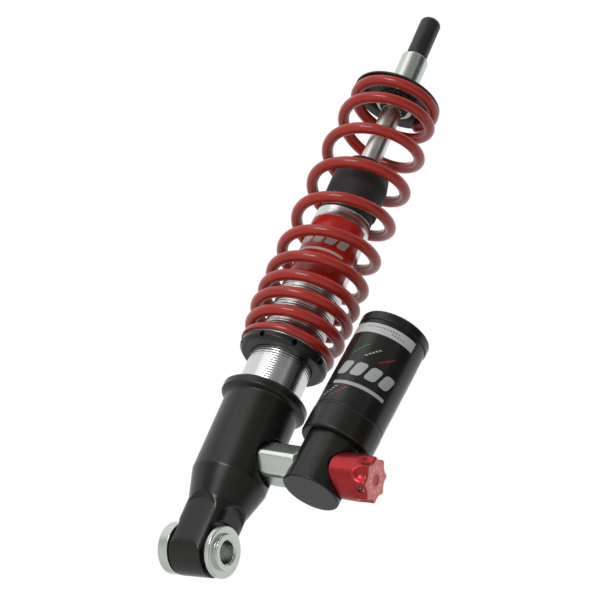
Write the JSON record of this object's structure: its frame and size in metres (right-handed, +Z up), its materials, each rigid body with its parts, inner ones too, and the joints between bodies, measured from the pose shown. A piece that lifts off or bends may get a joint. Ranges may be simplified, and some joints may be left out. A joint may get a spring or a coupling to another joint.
{
  "type": "motorcycle rear shock absorber",
  "caption": "Coil-over rear shock absorber with a threaded preload collar, a side gas reservoir with a compression adjuster knob, a flanged lower eye and an upper stud.",
  "frame": {"origin": "centre of the lower eye's bolt bore, midway between the bush faces", "axes": "+Z up the damper's axis to the top stud, +X along the eye's axis on the reservoir's side"},
  "size_m": [0.1127, 0.0618, 0.3789],
  "materials": {
    "black_anodised": "satin black anodised aluminium",
    "silver_tube": "turned and polished aluminium",
    "zinc_plate": "zinc plated steel, turned",
    "hard_chrome": "ground and hard chromed steel",
    "spring_red": "gloss red powder coat",
    "knob_red": "satin red anodised aluminium",
    "black_vinyl": "soft dip-moulded vinyl",
    "stop_rubber": "matte moulded rubber",
    "seal_rubber": "nitrile rubber",
    "label_red": "gloss printed vinyl",
    "label_dark": "gloss printed vinyl",
    "label_pale": "gloss printed vinyl",
    "bearing_bronze": "lined bronze",
    "ptfe_band": "filled PTFE",
    "plain_steel": "turned steel",
    "plain_aluminium": "turned aluminium",
    "valve_brass": "turned brass"
  },
  "bodies": {
    "damper_body": {"foot": "black_anodised", "eye_liner": "bearing_bronze", "damper_tube": "silver_tube", "tube_seal": "seal_rubber", "body_label": "label_red", "seal_head": "silver_tube", "head_seal": "seal_rubber", "rod_guide": "bearing_bronze", "rod_seal": "seal_rubber", "rod_wiper": "seal_rubber", "bump_stop": "stop_rubber", "connector": "zinc_plate", "connector_seals": "seal_rubber", "adjuster_body": "black_anodised", "needle_seat": "valve_brass", "detent_ball": "plain_steel", "detent_spring": "plain_steel", "reservoir_base": "black_anodised", "reservoir_tube": "black_anodised", "reservoir_cap": "black_anodised", "reservoir_seals": "seal_rubber", "gas_valve": "valve_brass", "reservoir_label": "label_dark", "reservoir_strip": "label_pale"},
    "rod_assembly": {"piston_rod": "hard_chrome", "stop_plate": "plain_steel", "rebound_shims": "plain_steel", "compression_shims": "plain_steel", "piston": "plain_aluminium", "piston_band": "ptfe_band", "piston_nut": "plain_steel", "top_out_bumper": "stop_rubber", "bump_pad": "stop_rubber", "centring_ring": "zinc_plate", "spring_plate": "black_anodised", "stud_sleeve": "zinc_plate"},
    "stud_cap": {"thread_cap": "black_vinyl"},
    "spring_seat": {"thrust_washer": "plain_steel", "main_spring": "spring_red"},
    "collar": {"preload_collar": "black_anodised"},
    "gas_piston": {"floating_piston": "plain_aluminium", "floating_seal": "seal_rubber", "floating_band": "ptfe_band"},
    "needle": {"adjuster_needle": "plain_steel", "needle_seal": "seal_rubber"},
    "knob": {"adjuster_knob": "knob_red", "knob_grub_screw": "plain_steel"},
    "eye_bushes": {"eye_bush_near": "zinc_plate", "eye_bush_far": "zinc_plate", "eye_dust_seals": "seal_rubber"},
    "valve_cap": {"gas_valve_cap": "black_anodised"}
  },
  "joints": [
    {"name": "rod_slide", "type": "slide", "parent": "damper_body", "child": "rod_assembly", "axis": [0, 0, -1], "range_m": [0, 0.042], "stiffness_N_per_m": 25000, "deforming": ["main_spring"]},
    {"name": "stud_cap_pull", "type": "slide", "parent": "rod_assembly", "child": "stud_cap", "axis": [0, 0, 1], "range_m": [0, 0.035]},
    {"name": "spring_seat_travel", "type": "slide", "parent": "damper_body", "child": "spring_seat", "axis": [0, 0, -1], "range_m": [0, 0.009]},
    {"name": "collar_turn", "type": "hinge", "parent": "spring_seat", "child": "collar", "pos_m": [0, 0, 0.12], "axis": [0, 0, -1], "range_deg": [0, 2160.1]},
    {"name": "gas_piston_slide", "type": "slide", "parent": "damper_body", "child": "gas_piston", "axis": [0.0697, 0.0487, 0.9964], "range_m": [0, 0.0052]},
    {"name": "needle_travel", "type": "slide", "parent": "damper_body", "child": "needle", "axis": [-0.9866, -0.1633, 0], "range_m": [-0.0008, 0.0008]},
    {"name": "knob_turn", "type": "hinge", "parent": "damper_body", "child": "knob", "pos_m": [0.04982, 0.00825, 0.0575], "axis": [-0.9866, -0.1633, 0], "range_deg": [-360, 360]},
    {"name": "eye_swivel", "type": "hinge", "parent": "damper_body", "child": "eye_bushes", "pos_m": [0, 0, 0], "axis": [1, 0, 0], "continuous": true},
    {"name": "valve_cap_pull", "type": "slide", "parent": "damper_body", "child": "valve_cap", "axis": [0.0697, 0.0487, 0.9964], "range_m": [0, 0.012]}
  ],
  "couplings": [
    {"joint": "collar_turn", "follows": "spring_seat_travel", "rad_per_m": 4188.8},
    {"joint": "gas_piston_slide", "follows": "rod_slide", "ratio": 0.1217},
    {"joint": "needle_travel", "follows": "knob_turn", "m_per_rad": 0.00011937}
  ]
}
